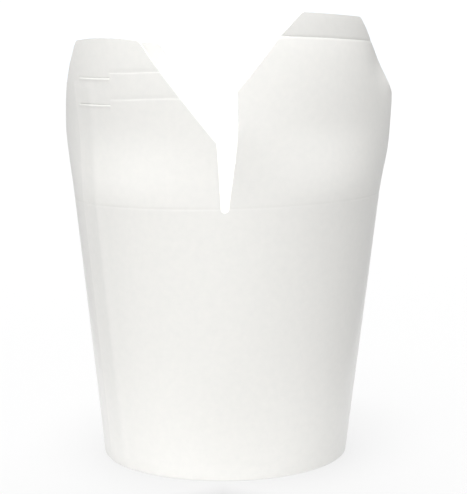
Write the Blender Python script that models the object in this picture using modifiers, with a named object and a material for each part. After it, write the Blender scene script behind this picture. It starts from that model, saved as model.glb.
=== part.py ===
# Round-based paperboard noodle box, empty, standing open with its four lid flaps up.
# The wall is a cone of folded board that widens upwards. A separate base disc is held in
# its turned-in foot. The four flaps are cut from the same board as the wall and fold on
# the curved crease at its top. One of them ends in a tongue with a crease of its own.
# The front looks towards -Y. Units are metres, and angles in the constants are degrees.

import math

import bmesh
import bpy

# Board and clearances
BOARD = 0.0005
GAP = 0.0003

# Wall: a cone whose radius grows with height, up to the crease under the flaps
BASE_RADIUS = 0.045
WALL_SLOPE = 0.111
CREASE_HEIGHT = 0.0955
AROUND = 96

# Foot: the board turns in under the wall and up again, and the base disc stands in the fold
HEM_HEIGHT = 0.006
HEM_SPACE = BOARD + 2 * GAP
EDGE_ROUND = 0.0003
DISC_HEIGHT = HEM_HEIGHT + GAP
DISC_CORNER = 0.0008

# Flaps: half widths along the curved board and heights above the crease
FOOT_HALF = 0.0423
SLOT_SHOULDER = (0.0420, 0.0220)
SLOT_TOP = (0.0166, 0.0552)
TONGUE_SHOULDER = (0.0406, 0.0377)
TONGUE_ROOT = (0.0237, 0.0557)
TONGUE_TOP = (0.0148, 0.0638)

# How far a flap has bent inwards at the height of LEAN_HEIGHT, growing with height squared
LEAN_HEIGHT = 0.056
SLOT_LEAN = 0.0040
TONGUE_LEAN = 0.0077

# Slot lock: two cuts across a flap with a band of board between them
SLIT_WIDTH = 0.0005
SLIT_CENTRE = -0.0055
SLITS = {"lower": (0.0341, 0.0190), "upper": (0.0430, 0.0171)}
CUTTER_DEPTH = 0.012

# Grid of a flap's board
COLUMNS = 20
ROW_STEP = 0.0045

# Direction of each flap's middle, anticlockwise from +X seen from above
FLAP_DIRECTION = {"front_left": 225, "front_right": 315, "back_right": 45, "back_left": 135}


def wall_radius(height):
    return BASE_RADIUS + WALL_SLOPE * height


def clear_scene():
    for item in list(bpy.data.objects):
        bpy.data.objects.remove(item, do_unlink=True)


def new_collection(name):
    group = bpy.data.collections.new(name)
    bpy.context.scene.collection.children.link(group)
    return group


def board_material(name, color, roughness):
    material = bpy.data.materials.new(name)
    material.use_nodes = True
    shader = material.node_tree.nodes["Principled BSDF"]
    shader.inputs["Base Color"].default_value = (*color, 1.0)
    shader.inputs["Roughness"].default_value = roughness
    shader.inputs["Metallic"].default_value = 0.0
    return material


def add_object(name, mesh, group, material=None):
    item = bpy.data.objects.new(name, mesh)
    group.objects.link(item)
    if material is not None:
        mesh.materials.append(material)
    return item


# Turned pieces

def turned_piece(name, profile, closed, group, material):
    """Turns a profile of (radius, height) points about Z; it runs down its outer side."""
    count = len(profile)
    edges = [(i, i + 1) for i in range(count - 1)]
    if closed:
        edges.append((count - 1, 0))
    mesh = bpy.data.meshes.new(name)
    mesh.from_pydata([(radius, 0.0, height) for radius, height in profile], edges, [])
    item = add_object(name, mesh, group, material)
    screw = item.modifiers.new("Turn", "SCREW")
    screw.axis = "Z"
    screw.steps = AROUND
    screw.render_steps = AROUND
    screw.use_merge_vertices = True
    screw.merge_threshold = 0.00001
    screw.use_smooth_shade = True
    return item


def wall_profile():
    """The sheet from the crease down, in under the foot and up the hem, as one closed line."""
    top = CREASE_HEIGHT - GAP / 2
    wall_inside = -BOARD
    hem_outside = wall_inside - HEM_SPACE
    hem_inside = hem_outside - BOARD

    def point(offset, height):
        return (wall_radius(height) + offset, height)

    return [
        point(0.0, top),
        point(0.0, EDGE_ROUND),
        point(-EDGE_ROUND, 0.0),
        point(hem_inside + EDGE_ROUND, 0.0),
        point(hem_inside, EDGE_ROUND),
        point(hem_inside, HEM_HEIGHT),
        point(hem_outside, HEM_HEIGHT),
        point(hem_outside, BOARD),
        point(wall_inside, BOARD),
        point(wall_inside, top),
    ]


def disc_profile():
    """A shallow upside-down cup: its top carries the food, its skirt stands in the fold."""
    top = DISC_HEIGHT + BOARD
    skirt_foot = BOARD + GAP
    outside = -BOARD - GAP
    return [
        (0.0, top),
        (wall_radius(top) + outside - DISC_CORNER, top),
        (wall_radius(DISC_HEIGHT) + outside, DISC_HEIGHT),
        (wall_radius(skirt_foot) + outside, skirt_foot),
        (wall_radius(skirt_foot) + outside - BOARD, skirt_foot),
        (wall_radius(DISC_HEIGHT) + outside - BOARD, DISC_HEIGHT),
        (0.0, DISC_HEIGHT),
    ]


# Flaps

def hinge_distance():
    """From the box's axis to the straight line through the two ends of a flap's crease."""
    inner_radius = wall_radius(CREASE_HEIGHT) - BOARD
    return inner_radius * math.cos(FOOT_HALF / wall_radius(CREASE_HEIGHT)) - GAP / 2


def board_point(across, height, lean):
    """Place on a flap's outer face, in its own frame: outwards, across, up from its hinge."""
    radius = wall_radius(CREASE_HEIGHT + height)
    angle = across / radius
    bent_in = lean * (height / LEAN_HEIGHT) ** 2
    return (radius * math.cos(angle) - bent_in - hinge_distance(), radius * math.sin(angle), height)


def outline_rows(outline):
    """Rows of (half width, height) from the foot up, close enough to follow the bend."""
    rows = [outline[0]]
    for (low_half, low), (high_half, high) in zip(outline, outline[1:]):
        count = max(1, round((high - low) / ROW_STEP))
        for step in range(1, count + 1):
            share = step / count
            rows.append((low_half + (high_half - low_half) * share, low + (high - low) * share))
    return rows


def board_sheet(name, outline, lean, group, material):
    """One grid of board bent onto the cone, thickened towards the inside of the box."""
    rows = outline_rows(outline)
    last = len(rows) - 1
    shape = bmesh.new()
    bmesh.ops.create_grid(shape, x_segments=COLUMNS, y_segments=last, size=1.0)
    for vertex in shape.verts:
        half, height = rows[round((vertex.co.y + 1) / 2 * last)]
        vertex.co = board_point(vertex.co.x * half, height, lean)
    mesh = bpy.data.meshes.new(name)
    shape.to_mesh(mesh)
    shape.free()
    mesh.shade_smooth()
    item = add_object(name, mesh, group, material)
    thicken = item.modifiers.new("Board thickness", "SOLIDIFY")
    thicken.thickness = BOARD
    thicken.offset = -1.0
    thicken.use_even_offset = True
    return item


def place_flap(item, direction):
    """The flap's origin goes to the middle of its hinge line, its X axis pointing outwards."""
    turn = math.radians(direction)
    reach = hinge_distance()
    item.location = (reach * math.cos(turn), reach * math.sin(turn), CREASE_HEIGHT)
    item.rotation_euler = (0.0, 0.0, turn)


def slot_flap(position, group, cutters, material):
    outline = [(FOOT_HALF, GAP / 2), SLOT_SHOULDER, SLOT_TOP]
    name = f"flap_{position}"
    flap = board_sheet(name, outline, SLOT_LEAN, group, material)
    place_flap(flap, FLAP_DIRECTION[position])
    for label, (height, length) in SLITS.items():
        bpy.ops.mesh.primitive_cube_add(size=1.0)
        cutter = bpy.context.object
        cutter.name = f"cut_{position}_{label}"
        for other in list(cutter.users_collection):
            other.objects.unlink(cutter)
        cutters.objects.link(cutter)
        outwards = board_point(SLIT_CENTRE, height, SLOT_LEAN)[0]
        for vertex in cutter.data.vertices:
            vertex.co.x = vertex.co.x * CUTTER_DEPTH + outwards
            vertex.co.y = vertex.co.y * length + SLIT_CENTRE
            vertex.co.z = vertex.co.z * SLIT_WIDTH + height
        cutter.parent = flap
        cutter.hide_render = True
        cutter.display_type = "WIRE"
        cut = flap.modifiers.new(f"Cut {label}", "BOOLEAN")
        cut.operation = "DIFFERENCE"
        cut.solver = "EXACT"
        cut.object = cutter
    return flap


def tongue_flap(position, group, flap_material, tongue_material):
    root_half, root_height = TONGUE_ROOT
    below = [(FOOT_HALF, GAP / 2), TONGUE_SHOULDER, (root_half, root_height - GAP / 2)]
    flap = board_sheet(f"flap_{position}", below, TONGUE_LEAN, group, flap_material)
    place_flap(flap, FLAP_DIRECTION[position])

    above = [(root_half, root_height + GAP / 2), TONGUE_TOP]
    tongue = board_sheet("tongue", above, TONGUE_LEAN, group, tongue_material)
    hinge = tongue_hinge()
    for vertex in tongue.data.vertices:
        vertex.co.x -= hinge[0]
        vertex.co.z -= hinge[2]
    tongue.parent = flap
    tongue.location = hinge
    return flap


def tongue_hinge():
    """Middle of the straight line through the ends of the tongue's crease, on the inner face."""
    half, height = TONGUE_ROOT
    outwards = board_point(half, height, TONGUE_LEAN)[0] - BOARD
    return (outwards, 0.0, height)


def build():
    clear_scene()
    parts = new_collection("noodle_box")
    cutters = new_collection("noodle_box_cutters")

    wall_board = board_material("wall_board", (0.83, 0.82, 0.79), 0.55)
    base_board = board_material("base_board", (0.80, 0.79, 0.76), 0.50)
    flap_board = board_material("flap_board", (0.83, 0.82, 0.79), 0.55)
    tongue_board = board_material("tongue_board", (0.80, 0.80, 0.77), 0.55)

    turned_piece("wall", wall_profile(), True, parts, wall_board)
    turned_piece("base_disc", disc_profile(), False, parts, base_board)
    for position in ("front_left", "back_left", "back_right"):
        slot_flap(position, parts, cutters, flap_board)
    tongue_flap("front_right", parts, flap_board, tongue_board)


build()
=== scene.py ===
# Looks for an empty paperboard noodle box that stands open with its lid flaps up.
# Every new piece is a sheet of board worked out with numpy: an outside face, an inside face
# one board's thickness behind it, and the cut edge between them.
import math

import bpy
import numpy as np
from mathutils import Matrix, Vector


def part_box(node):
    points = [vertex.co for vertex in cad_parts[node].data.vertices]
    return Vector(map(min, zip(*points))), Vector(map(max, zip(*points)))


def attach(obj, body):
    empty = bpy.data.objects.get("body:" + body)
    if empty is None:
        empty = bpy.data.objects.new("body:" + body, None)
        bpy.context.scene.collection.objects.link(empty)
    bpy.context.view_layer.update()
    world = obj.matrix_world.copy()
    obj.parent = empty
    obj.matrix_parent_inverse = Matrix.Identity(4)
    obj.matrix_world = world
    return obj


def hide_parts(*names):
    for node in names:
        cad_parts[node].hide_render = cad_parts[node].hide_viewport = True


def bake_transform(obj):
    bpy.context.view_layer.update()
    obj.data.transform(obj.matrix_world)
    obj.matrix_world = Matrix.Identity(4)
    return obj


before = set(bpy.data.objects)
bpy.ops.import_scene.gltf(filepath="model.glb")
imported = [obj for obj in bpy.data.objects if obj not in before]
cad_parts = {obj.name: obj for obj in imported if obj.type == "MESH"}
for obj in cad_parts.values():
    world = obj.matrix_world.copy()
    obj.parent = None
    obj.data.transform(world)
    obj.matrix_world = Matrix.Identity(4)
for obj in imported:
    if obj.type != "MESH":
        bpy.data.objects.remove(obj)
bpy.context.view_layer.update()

mm = 0.001
print("frame loaded:", len(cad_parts), "nodes")


# The sheet that the wall and the flaps are cut from

sheet = {
    "footRadius": 45.0 * mm,
    "slope": 0.111,             # radius gained over height
    "board": 0.5 * mm,
    "creaseHeight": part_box("wall")[1].z + 0.15 * mm,    # half the gap above the wall's solid
    "waveHeight": 0.10 * mm,    # the board is never quite true
    "waves": [                  # share of that height, waves round the box, phase, drift upwards
        (0.50, 2, 0.7, 1.3),
        (0.35, 3, -1.1, 2.1),
        (0.25, 7, 2.0, -3.0),
    ],
    "waveClimb": 100.0 * mm,    # height over which a wave shifts by its drift
    "sharpAngle": math.radians(50),     # edges sharper than this aren't shaded smooth
    "leastReach": 0.1 * mm,     # from the axis, so that the tilt is defined there too
    "lean": 1.2 * mm,           # towards +X at the height of the crease
    "creaseTilt": (1.0 * mm, 0.7 * mm),     # how much higher the crease is at +X, at the front
    "levelBelow": 0.63,         # share of the wall's height that the tilt leaves level
    "grooveDepth": 0.05 * mm,   # scored crease
    "grooveWidth": 0.42 * mm,
    "insideRelief": 0.6,        # how much of a crease's depth shows on the inside
    "closestRows": 0.02 * mm,   # rows of a grid nearer than this are one row
}
flapAzimuth = {
    "front_left": math.radians(-45),
    "front_right": math.radians(45),
    "back_left": math.radians(-135),
    "back_right": math.radians(135),
}


def coneRadius(height):
    return sheet["footRadius"] + sheet["slope"] * height


def outwardsAt(azimuth):
    # azimuth 0 is the front, at -Y, and it grows towards +X
    return np.stack([np.sin(azimuth), -np.cos(azimuth), np.zeros_like(azimuth)], axis=-1)


def acrossAt(azimuth):
    return np.stack([np.cos(azimuth), np.sin(azimuth), np.zeros_like(azimuth)], axis=-1)


def boardWave(azimuth, height):
    # a few slow sines round the box, each drifting a little with height
    climbed = height / sheet["waveClimb"]
    total = 0.0
    for share, count, phase, drift in sheet["waves"]:
        total = total + share * np.sin(count * azimuth + phase + drift * climbed)
    return sheet["waveHeight"] * total


def settle(point):
    # where a point of the true cone has come to rest: sheared over to +X by the lean, in
    # proportion to height, and lifted by the crease's tilt in the upper part of the wall
    x, y, z = point[..., 0], point[..., 1], point[..., 2]
    reach = np.maximum(np.hypot(x, y), sheet["leastReach"])
    side, front = sheet["creaseTilt"]
    lift = (side * x - front * y) / reach
    lift = lift * easeStep(z, sheet["levelBelow"] * sheet["creaseHeight"], sheet["creaseHeight"])
    over = sheet["lean"] * z / sheet["creaseHeight"]
    return np.stack([x + over, y, z + lift], axis=-1)


def groove(distance, depth=None, width=None):
    # a rounded dip: depth times a bell curve of the distance from the line
    depth = sheet["grooveDepth"] if depth is None else depth
    width = sheet["grooveWidth"] if width is None else width
    return -depth * np.exp(-((distance / width) ** 2))


def easeStep(value, start, end):
    # 0 before start, 1 after end, smooth between
    t = np.clip((value - start) / (end - start), 0.0, 1.0)
    return t * t * (3 - 2 * t)


def rowsNear(low, high, coarse, keys, fine, reach):
    # heights from low to high, coarse apart, with fine rows within reach of each key
    rows = [np.linspace(low, high, max(2, int(round((high - low) / coarse)) + 1))]
    for key in keys:
        near = np.arange(key - reach, key + reach + fine / 2, fine)
        rows.append(near[(near > low) & (near < high)])
        if low < key < high:
            rows.append(np.array([key]))
    merged = np.unique(np.round(np.concatenate(rows), 7))
    keep = np.concatenate([[True], np.diff(merged) > sheet["closestRows"]])
    return merged[keep]


def boardPiece(name, outer, inner, kept, closedAround, materials):
    # outer and inner are rows by columns by 3; kept says which cells of the grid are board.
    # A rim joins the two faces along every border of what is kept.
    rowCount, columnCount, _ = outer.shape
    total = rowCount * columnCount
    rows, columns = np.nonzero(kept)
    nextColumn = (columns + 1) % columnCount if closedAround else columns + 1
    a = rows * columnCount + columns
    b = rows * columnCount + nextColumn
    c = (rows + 1) * columnCount + nextColumn
    d = (rows + 1) * columnCount + columns
    outside = np.stack([a, b, c, d], axis=1)
    inside = outside[:, ::-1] + total
    starts = outside.ravel()
    ends = np.roll(outside, -1, axis=1).ravel()
    border = ~np.isin(starts * total + ends, ends * total + starts)
    s, e = starts[border], ends[border]
    rim = np.stack([e, s, s + total, e + total], axis=1)
    faces = np.concatenate([outside, inside, rim])
    kind = np.repeat([0, 1, 2], [len(outside), len(inside), len(rim)])

    points = np.concatenate([outer.reshape(-1, 3), inner.reshape(-1, 3)])
    used = np.unique(faces)
    place = np.zeros(2 * total, dtype=np.int64)
    place[used] = np.arange(len(used))
    faces = place[faces]
    mesh = bpy.data.meshes.new(name)
    mesh.vertices.add(len(used))
    mesh.vertices.foreach_set("co", points[used].astype(np.float32).ravel())
    mesh.loops.add(faces.size)
    mesh.loops.foreach_set("vertex_index", faces.astype(np.int32).ravel())
    mesh.polygons.add(len(faces))
    mesh.polygons.foreach_set("loop_start", np.arange(0, faces.size, 4, dtype=np.int32))
    mesh.polygons.foreach_set("material_index", kind.astype(np.int32))
    mesh.update(calc_edges=True)
    mesh.shade_smooth()
    mesh.set_sharp_from_angle(angle=sheet["sharpAngle"])
    piece = bpy.data.objects.new(name, mesh)
    bpy.context.scene.collection.objects.link(piece)
    for material in materials:
        mesh.materials.append(material)
    print("made", name, "with", len(faces), "faces")
    return piece


# Finishes

def newMaterial(name):
    material = bpy.data.materials.new(name)
    material.use_nodes = True
    nodes = material.node_tree.nodes
    links = material.node_tree.links
    return material, nodes, links, nodes["Principled BSDF"]


def addNoise(nodes, links, place, scale, detail, roughness):
    noise = nodes.new("ShaderNodeTexNoise")
    noise.inputs["Scale"].default_value = scale
    noise.inputs["Detail"].default_value = detail
    noise.inputs["Roughness"].default_value = roughness
    links.new(place.outputs["Object"], noise.inputs["Vector"])
    return noise


def addRange(nodes, links, source, low, high, toLow, toHigh):
    span = nodes.new("ShaderNodeMapRange")
    span.inputs["From Min"].default_value = low
    span.inputs["From Max"].default_value = high
    span.inputs["To Min"].default_value = toLow
    span.inputs["To Max"].default_value = toHigh
    links.new(source, span.inputs["Value"])
    return span.outputs["Result"]


def addMath(nodes, links, operation, first, second=0.0):
    step = nodes.new("ShaderNodeMath")
    step.operation = operation
    for socket, value in zip(step.inputs, (first, second)):
        if isinstance(value, float):
            socket.default_value = value
        else:
            links.new(value, socket)
    return step.outputs["Value"]


def addMix(nodes, links, share, first, second):
    mix = nodes.new("ShaderNodeMix")
    mix.data_type = "RGBA"
    links.new(share, mix.inputs["Factor"])
    for socket, value in (("A", first), ("B", second)):
        entry = [s for s in mix.inputs if s.name == socket and s.type == "RGBA"][0]
        if isinstance(value, tuple):
            entry.default_value = (*value, 1.0)
        else:
            links.new(value, entry)
    return [s for s in mix.outputs if s.type == "RGBA"][0]


coatedBoard = {
    "light": (0.900, 0.892, 0.862),
    "dark": (0.875, 0.870, 0.843),
    "speck": (0.52, 0.49, 0.44),
    "mottleScale": 420.0,       # fibre clouds about 2 mm across
    "mottleDetail": (5.0, 0.62),
    "mottleRange": (0.32, 0.68),
    "grainScale": 2600.0,
    "grainDetail": (3.0, 0.6),
    "grainRange": (0.3, 0.7),
    "speckScale": 75.0,         # sparse bark specks, one in some cells of the pattern
    "speckSize": (0.008, 0.020),
    "speckPick": (0.60, 0.72),
    "speckStrength": 0.8,
    "roughness": (0.34, 0.46),
    "bump": 0.35,
    "bumpHeight": 0.03 * mm,
    "coat": (0.6, 0.20),        # weight and roughness of the clay coating's gloss
}


def makeBoardMaterial(name, look):
    material, nodes, links, shader = newMaterial(name)
    place = nodes.new("ShaderNodeTexCoord")
    mottle = addNoise(nodes, links, place, look["mottleScale"], *look["mottleDetail"])
    grain = addNoise(nodes, links, place, look["grainScale"], *look["grainDetail"])
    share = addRange(nodes, links, mottle.outputs["Fac"], *look["mottleRange"], 0.0, 1.0)
    color = addMix(nodes, links, share, look["dark"], look["light"])
    cells = nodes.new("ShaderNodeTexVoronoi")
    cells.inputs["Scale"].default_value = look["speckScale"]
    links.new(place.outputs["Object"], cells.inputs["Vector"])
    near = addRange(nodes, links, cells.outputs["Distance"], *look["speckSize"], 1.0, 0.0)
    pick = nodes.new("ShaderNodeSeparateColor")
    links.new(cells.outputs["Color"], pick.inputs["Color"])
    chosen = addRange(nodes, links, pick.outputs["Red"], *look["speckPick"], 0.0, look["speckStrength"])
    both = addMath(nodes, links, "MULTIPLY", near, chosen)
    color = addMix(nodes, links, both, color, look["speck"])
    links.new(color, shader.inputs["Base Color"])
    gloss = addRange(nodes, links, grain.outputs["Fac"], *look["grainRange"], *look["roughness"])
    links.new(gloss, shader.inputs["Roughness"])
    height = addMath(nodes, links, "ADD", mottle.outputs["Fac"], grain.outputs["Fac"])
    bump = nodes.new("ShaderNodeBump")
    bump.inputs["Strength"].default_value = look["bump"]
    bump.inputs["Distance"].default_value = look["bumpHeight"]
    links.new(height, bump.inputs["Height"])
    links.new(bump.outputs["Normal"], shader.inputs["Normal"])
    shader.inputs["Coat Weight"].default_value = look["coat"][0]
    shader.inputs["Coat Roughness"].default_value = look["coat"][1]
    return material


# the lining is a little lighter than the coated outside: partly its own tone, partly painted light that
# whitens the inside of the box
linedBoardPaintedLighter = dict(coatedBoard, roughness=(0.34, 0.42), bump=0.18, coat=(0.0, 0.2),
                  light=(0.930, 0.925, 0.910), dark=(0.915, 0.910, 0.892))
cutBoard = dict(coatedBoard, light=(0.88, 0.875, 0.86), dark=(0.84, 0.835, 0.82),
                roughness=(0.75, 0.85), coat=(0.0, 0.2), mottleScale=1800.0, grainScale=5200.0)
outsideBoard = makeBoardMaterial("coatedBoard", coatedBoard)
insideBoard = makeBoardMaterial("linedBoardPaintedLighter", linedBoardPaintedLighter)
edgeBoard = makeBoardMaterial("cutBoard", cutBoard)
boardFinishes = [outsideBoard, insideBoard, edgeBoard]
print("finishes made")


# The glued side seam: the outer end of the sheet lies on the inner end

seam = {
    "angle": math.radians(-18.6),   # from the middle of the front left flap
    "lap": 9.5 * mm,
    "settle": 5.0 * mm,         # beyond the lap, where the board sinks back to the true cone
    "rise": 0.36 * mm,
    "flapEnd": 42.0 * mm,       # the lap stops just under the upper cut of the flap
    "flapFade": 1.0 * mm,
    "column": 0.03 * mm,        # columns this far to each side of a step in the board
}
seam["azimuth"] = flapAzimuth["front_left"] + seam["angle"]


def seamRise(distance):
    # outside: up at the outer end's edge, level over the lap, then easing down
    on = (distance >= 0).astype(float)
    return seam["rise"] * on * (1 - easeStep(distance, seam["lap"], seam["lap"] + seam["settle"]))


def seamInside(distance):
    # inside: nothing over the lap, then a step out where the inner end stops
    on = (distance >= seam["lap"]).astype(float)
    return seam["rise"] * on * (1 - easeStep(distance, seam["lap"], seam["lap"] + seam["settle"]))


def seamFlat(distance, radius):
    # two boards are stiffer than one, so the lap is a flat strip: the arc less its chord
    inside = np.clip(distance, 0, seam["lap"])
    return -inside * (seam["lap"] - inside) / (2 * radius)


# The wall, from the hem up to the crease

wall = {
    "columns": 288,
    "closestColumns": 0.0004,   # in radians
    "rowStep": 1.6 * mm,
    "fineRows": (0.14 * mm, 1.4 * mm),      # their spacing, and their reach from the crease
    "hemHeight": 6.0 * mm,
    "hemRows": 12,
    "turnRows": 6,              # in each quarter of the fold under the foot
    "foldWidth": 2.1 * mm,      # from the outside face to the hem's face towards the axis
    "foldRound": 0.56 * mm,
    "slitHalf": 1.4 * mm,       # the cut between two flaps ends in a round
    "slitDip": 1.3 * mm,
    "slitColumns": 15,
    "dipReach": 6.0 * mm,       # how far down the rows bend to meet that round
    "lapFrom": (-0.2 * mm, 0.6 * mm),       # heights over which the lap and the board's
    "waveFrom": (2.0 * mm, 10.0 * mm),      # unevenness set in above the foot
    "knurls": 96,
    "knurlDepth": 0.07 * mm,
}


def wallColumns():
    even = np.linspace(-math.pi, math.pi, wall["columns"], endpoint=False)
    crease = coneRadius(sheet["creaseHeight"])
    extra = []
    for cut in (-180, -90, 0, 90):
        fine = np.linspace(-wall["slitHalf"], wall["slitHalf"], wall["slitColumns"])
        extra.append(math.radians(cut) + fine / crease)
    for edge in (0.0, seam["lap"]):
        pair = edge + np.array([-1, 1]) * seam["column"]
        extra.append(seam["azimuth"] + pair / crease)
    merged = np.concatenate([even, *extra])
    merged = np.sort((merged + math.pi) % (2 * math.pi) - math.pi)
    keep = np.concatenate([[True], np.diff(merged) > wall["closestColumns"]])
    return merged[keep]


def foldPath():
    # (offset from the cone, height) along the board's outside face: down the hem and round
    # under the foot, up to where the wall begins
    radius, width = wall["foldRound"], wall["foldWidth"]
    down = np.linspace(wall["hemHeight"], radius, wall["hemRows"])
    turn = np.linspace(0, math.pi / 2, wall["turnRows"] + 1)[1:]
    hem = [(-width, z) for z in down]
    first = [(-width + radius * (1 - math.cos(t)), radius * (1 - math.sin(t))) for t in turn]
    flat = [(-width / 2, 0.0), (-radius, 0.0)]
    second = [(-radius * (1 - math.sin(t)), radius * (1 - math.cos(t))) for t in turn]
    return hem + first + flat + second


def slitDip(azimuth):
    # depth of the round end of the cuts between the flaps, at this azimuth
    crease = coneRadius(sheet["creaseHeight"])
    quarter = math.pi / 2
    distance = np.abs((azimuth + quarter / 2) % quarter - quarter / 2) * crease
    inside = np.clip(1 - (distance / wall["slitHalf"]) ** 2, 0.0, 1.0)
    return wall["slitDip"] * np.sqrt(inside)


def wallPoints(azimuth, offset, height, isOutside):
    # a point of the wall: cone radius plus offset plus the board's own unevenness
    distance = (azimuth - seam["azimuth"]) * coneRadius(height)
    lap = seamRise(distance) if isOutside else seamInside(distance)
    free = easeStep(height, *wall["waveFrom"])
    crease = groove(height - sheet["creaseHeight"]) * (1 if isOutside else -sheet["insideRelief"])
    radius = coneRadius(height) + offset + lap * easeStep(height, *wall["lapFrom"])
    radius = radius + (boardWave(azimuth, height) + seamFlat(distance, radius)) * free + crease
    return settle(outwardsAt(azimuth) * radius[..., None] + np.array([0, 0, 1]) * height[..., None])


def makeWall():
    azimuth = wallColumns()
    fold = np.array(foldPath())
    top = sheet["creaseHeight"]
    rise = rowsNear(wall["foldRound"], top, wall["rowStep"], [top], *wall["fineRows"])[1:]
    # rows of the fold keep their height, the upper rows of the rise sink into the slits' ends
    foldHeights = np.repeat(fold[:, 1][:, None], len(azimuth), axis=1)
    dipShare = easeStep(rise, top - wall["dipReach"], top)
    riseHeights = rise[:, None] - dipShare[:, None] * slitDip(azimuth)[None, :]
    height = np.concatenate([foldHeights, riseHeights])
    offset = np.concatenate([fold[:, 0], np.zeros(len(rise))])
    offset = np.repeat(offset[:, None], len(azimuth), axis=1)
    azimuthGrid = np.repeat(azimuth[None, :], len(height), axis=0)

    # the inside face lies one board behind, at right angles to the path
    path = np.stack([offset[:, 0], np.concatenate([fold[:, 1], rise])], axis=1)
    along = np.gradient(path, axis=0)
    along /= np.linalg.norm(along, axis=1)[:, None]
    normal = np.stack([along[:, 1], -along[:, 0]], axis=1)
    innerOffset = offset - sheet["board"] * normal[:, 0][:, None]
    innerHeight = height - sheet["board"] * normal[:, 1][:, None]

    # fine upright ridges where the hem was pressed onto the base
    onHem = np.arange(len(height)) < wall["hemRows"]
    ridge = 0.5 + 0.5 * np.cos(azimuthGrid * wall["knurls"])
    offset = offset - wall["knurlDepth"] * ridge * onHem[:, None]
    outer = wallPoints(azimuthGrid, offset, height, True)
    inner = wallPoints(azimuthGrid, innerOffset, innerHeight, False)
    kept = np.ones((len(height) - 1, len(azimuth)), dtype=bool)
    piece = boardPiece("wallSheet", outer, inner, kept, True, boardFinishes)
    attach(piece, "box")
    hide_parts("wall")


# The base: a disc with its edge turned down into the fold of the hem

base = {
    "columns": 192,
    "topHeight": 6.8 * mm,
    "skirtFoot": 0.85 * mm,
    "gap": 0.3 * mm,
    "bend": 0.9 * mm,
    "sag": 0.25 * mm,           # how far the middle has sunk
    "centre": 0.02 * mm,        # radius of the innermost ring of the grid
    "rows": (30, 9, 8),         # on the flat, round the bend, down the skirt
}


def makeBase():
    azimuth = np.linspace(-math.pi, math.pi, base["columns"], endpoint=False)
    top, bend = base["topHeight"], base["bend"]
    reach = coneRadius(top) - sheet["board"] - base["gap"]
    flatRows, bendRows, skirtRows = base["rows"]
    flat = np.linspace(base["centre"], reach - bend, flatRows)
    sunk = base["sag"] * (1 - (flat / (reach - bend)) ** 2)
    flatPath = np.stack([flat, top - sunk], axis=1)
    turn = np.linspace(0, math.pi / 2, bendRows)[1:]
    bendPath = np.stack([reach - bend * (1 - np.sin(turn)), top - bend * (1 - np.cos(turn))], axis=1)
    drop = np.linspace(top - bend, base["skirtFoot"], skirtRows)[1:]
    skirtPath = np.stack([reach - sheet["slope"] * (top - drop), drop], axis=1)
    path = np.concatenate([flatPath, bendPath, skirtPath])
    along = np.gradient(path, axis=0)
    along /= np.linalg.norm(along, axis=1)[:, None]
    behind = path - sheet["board"] * np.stack([-along[:, 1], along[:, 0]], axis=1)

    def turned(line):
        ring = outwardsAt(azimuth)[None, :, :] * line[:, 0][:, None, None]
        return ring + np.array([0, 0, 1]) * line[:, 1][:, None, None]

    # rows run outwards and down, so the columns run the other way round
    outer, inner = settle(turned(path)[:, ::-1]), settle(turned(behind)[:, ::-1])
    kept = np.ones((len(path) - 1, len(azimuth)), dtype=bool)
    piece = boardPiece("baseDisc", outer, inner, kept, True, [insideBoard, outsideBoard, edgeBoard])
    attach(piece, "box")
    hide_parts("base_disc")


# The flaps

flap = {
    "leanHeight": 56.0 * mm,    # height at which the lean, twist and tilt have their full size
    "sideReach": 40.0 * mm,     # distance aside at which the twist and tilt do
    "flattenHeight": 28.0 * mm,     # over which the flattening sets in
    "restReach": 12.0 * mm,     # how far up and down restWidth averages
    "restSteps": 9,
    "cornerRound": 0.9 * mm,
    "rowStep": 1.5 * mm,
    "fineRows": (0.16 * mm, 1.3 * mm),      # their spacing, and their reach from a crease or cut
    "middle": 17.0 * mm,        # columns within this keep their distance from the middle
    "middleShare": 0.9,         # but take no more than this share of a narrow row
    "columnStep": 1.3 * mm,
    "fineColumns": (0.3 * mm, 1.2 * mm),    # their spacing, and their reach from a cut's end
    "outerColumns": 11,         # on each side of the middle
    "seamColumns": (9, 3),      # to the left and right of the seam
    "tongueColumns": 64,
    "bendStart": sheet["creaseHeight"] + 1.3 * mm,      # a band of board just above the crease, up to bendEnd
    "bendEnd": sheet["creaseHeight"] + 17.0 * mm,
}
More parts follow.
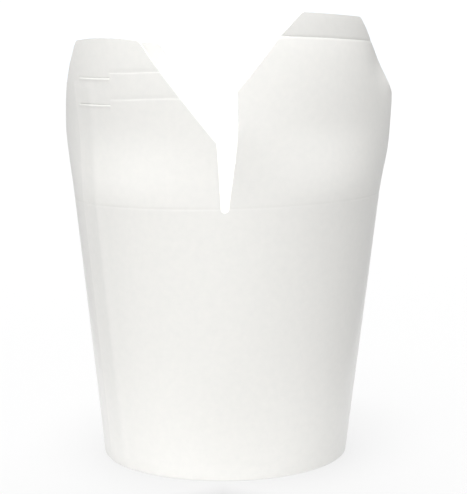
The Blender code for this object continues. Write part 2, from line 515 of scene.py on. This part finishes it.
slotFlap = {
    # corners from the crease up: half width at the left, at the right, and height, in mm
    "outline": [(42.3, 42.3, 0.0), (42.6, 42.6, 22.0), (16.6, 15.8, 55.5)],
    "lean": 2.9 * mm,
    "twist": 1.0 * mm,          # more lean on the right, less on the left
    "flatten": (0.19, 0.89),    # share of the arc's rise, and of the half width that keeps place
    "tilt": (0.7 * mm, -1.0 * mm),      # lift at the top, and how much more at the right
    "crown": 0.8 * mm,          # the top edge is cut as a shallow bow
    "crownReach": 7.0 * mm,
    # the board's own bends: place across, height, how far out, and reach, in mm
    "dents": [(-41, 36, -0.55, 12), (-41, 15, 0.3, 8)],
    "cuts": [                   # the crease beside a cut climbs from one height to the other
        {"height": 34.5 * mm, "ends": (-17.1 * mm, 2.0 * mm), "crease": (36.1 * mm, 36.9 * mm)},
        {"height": 43.4 * mm, "ends": (-15.6 * mm, 2.4 * mm), "crease": (44.9 * mm, 45.6 * mm)},
    ],
    "cutGap": 0.20 * mm,
    "cutClear": 0.03 * mm,      # no row of the grid lies closer to the gap
    "cutFade": (0.2 * mm, 0.8 * mm),        # beyond and within a cut's ends
    "ridge": 0.13 * mm,         # pressed up along the lower lip of a cut
    "ridgeWidth": 0.45 * mm,
    "curl": 0.42 * mm,          # how far that lip's edge turns in
    "curlReach": 0.8 * mm,
    "tuck": 0.05 * mm,          # how far the upper lip stands back
    "tuckReach": 1.2 * mm,
    "hang": 0.06 * mm,          # how far it hangs over the gap
    "creaseDepth": 0.09 * mm,
    "creaseWidth": (0.30 * mm, 1.1 * mm),   # below and above the crease
    "creaseFade": (-0.8 * mm, 0.6 * mm),    # from the cut's right end
    "creaseEnd": 30.0 * mm,     # where the crease has climbed to its second height
}
backFlap = dict(slotFlap, tilt=(-0.2 * mm, -0.3 * mm), crown=0.4 * mm, dents=[])
tongueFlap = {
    "outline": [(42.3, 42.3, 0.0), (41.7, 40.6, 37.7), (24.1, 22.4, 55.7), (14.8, 13.9, 63.8)],
    "lean": 9.3 * mm,
    "twist": -0.2 * mm,
    "flatten": (0.31, 0.70),
    "tilt": (-0.55 * mm, -1.95 * mm),
    "dents": [(41, 37, 0.95, 9), (30, 50, -1.15, 10), (41, 15, 0.35, 9)],
    "rootDepth": 0.08 * mm,     # of the tongue's crease
    "tongueOut": 0.17,          # the tongue springs back outwards from its crease
    "tipBend": (0.6 * mm, 3.2 * mm),        # above that crease, the board that bends
}


def edgeAt(outline, height, side):
    # distance of the outline from the flap's middle: side 0 is the left, 1 the right
    places = np.array([corner[2] for corner in outline]) * mm
    reach = np.array([corner[side] for corner in outline]) * mm
    width = np.interp(height, places, reach)
    radius = flap["cornerRound"]
    below = np.clip(places[-1] - height, 0.0, radius)
    return width - (radius - np.sqrt(np.maximum(radius ** 2 - (radius - below) ** 2, 0.0)))


def restWidth(outline, height):
    # the outline's half width averaged over some millimetres of height, so it has no corner
    places = np.array([corner[2] for corner in outline]) * mm
    widths = np.array([corner[1] for corner in outline]) * mm
    near = np.linspace(-flap["restReach"], flap["restReach"], flap["restSteps"])
    return sum(np.interp(height + step, places, widths) for step in near) / len(near)


def flapColumns(left, right, height, fixed, hasSeam):
    # places across the flap for each row: fixed ones in the middle, the rest shared out
    # between them and the outline, with a close pair that follows the seam where it can
    middle = flap["middle"]
    innerLeft = np.minimum(middle, flap["middleShare"] * left)[:, None]
    innerRight = np.minimum(middle, flap["middleShare"] * right)[:, None]
    left, right = left[:, None], right[:, None]
    share = np.linspace(0, 1, flap["outerColumns"] + 1)[None, 1:]
    rightPart = innerRight + (right - innerRight) * share
    if hasSeam:
        # the seam, but never past half way between the fixed columns and the outline
        line = seam["angle"] * coneRadius(sheet["creaseHeight"] + height)[:, None]
        line = -np.minimum(-line, (innerLeft + left) / 2)
        close = seam["column"]
        before, after = flap["seamColumns"]
        far = -left + (line - close + left) * np.linspace(0, 1, before)
        near = line + close + (-innerLeft - line - close) * np.linspace(0, 1, after + 1)[:-1]
        leftPart = np.concatenate([far, near], axis=1)
    else:
        leftPart = (-innerLeft - (left - innerLeft) * share)[:, ::-1]
    centre = fixed[None, :] / middle * np.where(fixed[None, :] < 0, innerLeft, innerRight)
    return np.concatenate([leftPart, centre, rightPart], axis=1)


def flapPoints(azimuth, across, height, look, offset, lift):
    # The cone rolled out across the flap, bent inwards by lean times height squared, twisted,
    # and flattened: its middle sinks by a share of the arc's rise between its two edges.
    level = sheet["creaseHeight"] + height
    up = height / flap["leanHeight"]
    aside = across / flap["sideReach"]
    radius = coneRadius(level)
    angle = across / radius
    share, keep = look["flatten"]
    edge = keep * restWidth(look["outline"], height) / radius
    bent = look["lean"] * up ** 2 + look["twist"] * aside * up
    bent = bent + (share * easeStep(height, 0.0, flap["flattenHeight"])
                   * radius * (np.cos(angle) - np.cos(edge)))
    bent = bent - dentsOf(across, height, look)
    uneven = boardWave(azimuth + angle, level)
    out = (radius + offset + uneven) * np.cos(angle) - bent
    side = (radius + offset + uneven) * np.sin(angle)
    raised, tilted = look["tilt"]
    level = level + lift + (raised + tilted * aside) * up
    centre = np.array(azimuth)
    point = outwardsAt(centre) * out[..., None] + acrossAt(centre) * side[..., None]
    return settle(point + np.array([0, 0, 1]) * level[..., None])


def dentsOf(across, height, look):
    # a sum of bell-shaped bulges: out times a bell curve of the distance over the reach
    total = np.zeros_like(across)
    for side, level, out, reach in look["dents"]:
        gap = ((across / mm - side) ** 2 + (height / mm - level) ** 2) / reach ** 2
        total = total + out * mm * np.exp(-gap)
    return total


def creaseShape(distance, look):
    # a crease pressed from outside: the board steps out sharply below it, gently above
    width = np.where(distance < 0, *look["creaseWidth"])
    return groove(distance, look["creaseDepth"], width)


def cutShape(across, height, look):
    # outwards offset and lift of the board near the slot lock's cuts and creases
    beyond, within = look["cutFade"]
    offset = np.zeros_like(across)
    lift = np.zeros_like(across)
    for cut in look["cuts"]:
        left, right = cut["ends"]
        inCut = easeStep(across, left - beyond, left + within)
        inCut = inCut * (1 - easeStep(across, right - within, right + beyond))
        over = height - cut["height"]
        # below the cut the board rises to a small ridge and then curls in under the board
        # above, which is tucked in a little and hangs over the gap
        curl = np.clip(1 + over / look["curlReach"], 0, 1) ** 2 * (over <= 0)
        ridge = np.exp(-((over + look["curlReach"]) / look["ridgeWidth"]) ** 2) * (over <= 0)
        above = np.exp(-np.maximum(over, 0) / look["tuckReach"]) * (over > 0)
        offset += inCut * (look["ridge"] * ridge - look["curl"] * curl - look["tuck"] * above)
        lift -= inCut * (look["cutGap"] / 2 + look["hang"]) * above
        # the crease starts above the cut's right end and climbs a little towards the edge
        start, end = cut["crease"]
        line = start + (end - start) * easeStep(across, right, look["creaseEnd"])
        first, full = look["creaseFade"]
        offset += creaseShape(height - line, look) * easeStep(across, right + first, right + full)
    return offset, lift


def makeSlotFlap(name, position, look, hasSeam):
    keys = [corner[2] * mm for corner in look["outline"]]
    top = keys[-1]
    half = look["cutGap"] / 2
    for cut in look["cuts"]:
        keys += [cut["height"], *cut["crease"]]
    height = rowsNear(0.0, top, flap["rowStep"], keys, *flap["fineRows"])
    # exactly one row of cells lies in each cut
    for cut in look["cuts"]:
        height = height[np.abs(height - cut["height"]) > half + look["cutClear"]]
        height = np.sort(np.append(height, [cut["height"] - half, cut["height"] + half]))
    left, right = (edgeAt(look["outline"], height, side) for side in (0, 1))
    ends = [end for cut in look["cuts"] for end in cut["ends"]]
    fixed = rowsNear(-flap["middle"], flap["middle"], flap["columnStep"], ends, *flap["fineColumns"])
    across = flapColumns(left, right, height, fixed, hasSeam)
    rows = np.repeat(height[:, None], across.shape[1], axis=1)
    offset, lift = cutShape(across, rows, look)
    bow = look["crown"] * (1 - (across / right[:, None]) ** 2)
    lift = lift + bow * easeStep(rows, top - look["crownReach"], top)
    creaseDip = groove(rows)
    outerOffset = offset + creaseDip
    innerOffset = offset - sheet["board"] - sheet["insideRelief"] * creaseDip
    if hasSeam:
        fade = 1 - easeStep(rows, seam["flapEnd"] - seam["flapFade"], seam["flapEnd"])
        radius = coneRadius(sheet["creaseHeight"] + rows)
        distance = across - seam["angle"] * radius
        flat = seamFlat(distance, radius)
        outerOffset = outerOffset + (seamRise(distance) + flat) * fade
        innerOffset = innerOffset + (seamInside(distance) + flat) * fade
    azimuth = flapAzimuth[position]
    outer = flapPoints(azimuth, across, rows, look, outerOffset, lift)
    inner = flapPoints(azimuth, across, rows, look, innerOffset, lift)
    kept = np.ones((len(height) - 1, across.shape[1] - 1), dtype=bool)
    firstFixed = across.shape[1] - flap["outerColumns"] - len(fixed)
    for cut in look["cuts"]:
        row = int(np.argmin(np.abs(height - (cut["height"] - half))))
        first = firstFixed + int(np.argmin(np.abs(fixed - cut["ends"][0])))
        last = firstFixed + int(np.argmin(np.abs(fixed - cut["ends"][1])))
        kept[row, first:last] = False
    piece = boardPiece(name, outer, inner, kept, False, boardFinishes)
    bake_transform(piece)
    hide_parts("flap_" + position)


def tonguePiece(name, low, high, keys, root):
    # the part of the tongue's flap between two heights, as a sheet of its own
    look = tongueFlap
    columns = flap["tongueColumns"]
    height = rowsNear(low, high, flap["rowStep"], keys, *flap["fineRows"])
    left, right = (edgeAt(look["outline"], height, side)[:, None] for side in (0, 1))
    across = -left + (left + right) * np.linspace(0, 1, columns)[None, :]
    rows = np.repeat(height[:, None], columns, axis=1)
    level = np.zeros_like(rows)
    dip = groove(rows) + groove(rows - root, look["rootDepth"])
    spring = look["tongueOut"] * np.maximum(rows - root, 0.0)
    behind = spring - sheet["board"] - sheet["insideRelief"] * dip
    outer = flapPoints(flapAzimuth["front_right"], across, rows, look, dip + spring, level)
    inner = flapPoints(flapAzimuth["front_right"], across, rows, look, behind, level)
    kept = np.ones((len(height) - 1, columns - 1), dtype=bool)
    return boardPiece(name, outer, inner, kept, False, boardFinishes)


def makeTongueFlap():
    shoulder, root, top = (corner[2] * mm for corner in tongueFlap["outline"][1:])
    piece = tonguePiece("tongueFlapSheet", 0.0, root, [0.0, shoulder, root], root)
    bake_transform(piece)
    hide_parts("flap_front_right")

    tongue = tonguePiece("tongueSheet", root, top, [root, top], root)
    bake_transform(tongue)
    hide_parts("tongue")


makeWall()
makeBase()
makeSlotFlap("slotFlapFrontLeft", "front_left", slotFlap, True)
makeSlotFlap("slotFlapBackLeft", "back_left", backFlap, False)
makeSlotFlap("slotFlapBackRight", "back_right", backFlap, False)
makeTongueFlap()


# Camera, floor and light

view = {
    "focalPixels": 1500.1,
    "imageHeight": 494.0,       # the picture's longer side, which the sensor's width spans
    "sensorWidth": 36.0,
    "clip": (0.01, 20.0),
    "place": (3.38 * mm, -547.57 * mm, 154.87 * mm),
    "pitch": 0.1439,
    "roll": -0.0045,
    "turn": math.radians(0.616),
}


def makeCamera():
    data = bpy.data.cameras.new("photoCamera")
    data.sensor_width = view["sensorWidth"]
    data.lens = view["focalPixels"] / view["imageHeight"] * data.sensor_width
    data.clip_start, data.clip_end = view["clip"]
    camera = bpy.data.objects.new("photoCamera", data)
    bpy.context.scene.collection.objects.link(camera)
    turn = Matrix.Rotation(view["turn"], 4, "Z")
    tip = Matrix.Rotation(math.pi / 2 - view["pitch"], 4, "X")
    roll = Matrix.Rotation(view["roll"], 4, "Z")
    camera.matrix_world = turn @ Matrix.Translation(Vector(view["place"])) @ tip @ roll
    bpy.context.scene.camera = camera


stage = {
    "floorSize": 8.0,
    "poolEdge": (0.160, 0.23),  # sideways reach of the painted pool of light over distance from poolStart
    "poolStart": -0.56,
    "poolLeast": 0.02,          # least distance that this ratio is taken over
    "poolFront": (-0.086, -0.044),      # where it begins in front of the box; nearer the front the floor is darker, a painted shadow
    "poolSpread": 0.65,         # how much further forward it reaches aside
    "floorColor": ((0.23, 0.23, 0.23), (0.05, 0.05, 0.05)),     # beside the pool, in it; in the pool painted glow stands in for light
    # painted light: the floor glows, faintly beside the pool and strongly in it
    "paintedFloorGlow": (0.06, 0.78),
    "floorRoughness": 0.9,
    "skyStops": [               # how far a direction points at the backdrop, and its light
        (0.00, (0.27, 0.27, 0.27)),
        (0.60, (0.27, 0.27, 0.27)),
        (0.90, (0.06, 0.06, 0.07)),
        (0.97, (1.03, 1.07, 1.12)),
        (1.00, (1.04, 1.07, 1.11)),
    ],
    "farLights": [              # name, azimuth from the front, elevation, strength, softness
        ("overLight", 0, 84, 3.60, 20),
        ("overLeftLight", -70, 70, 0.48, 20),
        ("highLight", -15, 60, 1.04, 30),
        ("levelLight", -8, 8, 1.23, 30),
        ("backLight", 180, 50, 2.40, 60),
    ],
}


def makeFloor():
    # a flat square, one grid cell
    half = stage["floorSize"] / 2
    mesh = bpy.data.meshes.new("floor")
    mesh.from_pydata([(-half, -half, 0), (half, -half, 0), (half, half, 0), (-half, half, 0)],
                     [], [(0, 1, 2, 3)])
    floor = bpy.data.objects.new("floor", mesh)
    bpy.context.scene.collection.objects.link(floor)
    material, nodes, links, shader = newMaterial("paleFloorPaintedPool")
    # a pool of painted light round and behind the box, glowing though the floor is no lamp: |x| / (y -
    # poolStart) tells how far aside
    place = nodes.new("ShaderNodeTexCoord")
    parts = nodes.new("ShaderNodeSeparateXYZ")
    links.new(place.outputs["Object"], parts.inputs["Vector"])
    aside = addMath(nodes, links, "ABSOLUTE", parts.outputs["X"])
    depth = addMath(nodes, links, "SUBTRACT", parts.outputs["Y"], stage["poolStart"])
    depth = addMath(nodes, links, "MAXIMUM", depth, stage["poolLeast"])
    ratio = addMath(nodes, links, "DIVIDE", aside, depth)
    near, far = stage["poolEdge"]
    inPool = addRange(nodes, links, ratio, near, far, 1.0, 0.0)
    spread = addMath(nodes, links, "MULTIPLY", aside, stage["poolSpread"])
    forward = addMath(nodes, links, "ADD", parts.outputs["Y"], spread)
    # painted shadow: the pool fades out in front of the box, so the floor there is darker
    behind = addRange(nodes, links, forward, *stage["poolFront"], 0.0, 1.0)
    for edge in (inPool, behind):
        edge.node.interpolation_type = "SMOOTHSTEP"
    inPool = addMath(nodes, links, "MULTIPLY", inPool, behind)
    links.new(addMix(nodes, links, inPool, *stage["floorColor"]), shader.inputs["Base Color"])
    # the floor's glow is painted light
    glow = addRange(nodes, links, inPool, 0.0, 1.0, *stage["paintedFloorGlow"])
    links.new(glow, shader.inputs["Emission Strength"])
    shader.inputs["Emission Color"].default_value = (1.0, 1.0, 1.0, 1.0)
    shader.inputs["Roughness"].default_value = stage["floorRoughness"]
    mesh.materials.append(material)


def addFarLight(name, azimuth, elevation, strength, softness):
    # a broad light far off: azimuth from the front towards +X, and elevation, in degrees
    side, up = math.radians(azimuth), math.radians(elevation)
    towards = Vector((math.sin(side) * math.cos(up), -math.cos(side) * math.cos(up), math.sin(up)))
    data = bpy.data.lights.new(name, "SUN")
    data.energy = strength
    data.angle = math.radians(softness)
    light = bpy.data.objects.new(name, data)
    light.rotation_euler = towards.to_track_quat("Z", "Y").to_euler()
    light.location = towards
    bpy.context.scene.collection.objects.link(light)


def makeWorld():
    world = bpy.data.worlds.new("studio")
    bpy.context.scene.world = world
    world.use_nodes = True
    nodes = world.node_tree.nodes
    links = world.node_tree.links
    place = nodes.new("ShaderNodeTexCoord")
    parts = nodes.new("ShaderNodeSeparateXYZ")
    links.new(place.outputs["Generated"], parts.inputs["Vector"])
    ramp = nodes.new("ShaderNodeValToRGB")
    ramp.color_ramp.interpolation = "EASE"
    stops = ramp.color_ramp.elements
    while len(stops) < len(stage["skyStops"]):
        stops.new(0.5)
    for stop, (where, color) in zip(stops, stage["skyStops"]):
        stop.position = where
        stop.color = (*color, 1.0)
    links.new(parts.outputs["Y"], ramp.inputs["Fac"])
    background = nodes["Background"]
    links.new(ramp.outputs["Color"], background.inputs["Color"])
    background.inputs["Strength"].default_value = 1.0


makeCamera()
makeFloor()
makeWorld()
for name, azimuth, elevation, strength, softness in stage["farLights"]:
    addFarLight(name, azimuth, elevation, strength, softness)
bpy.context.scene.view_settings.view_transform = "Standard"
print("camera, floor and light placed")
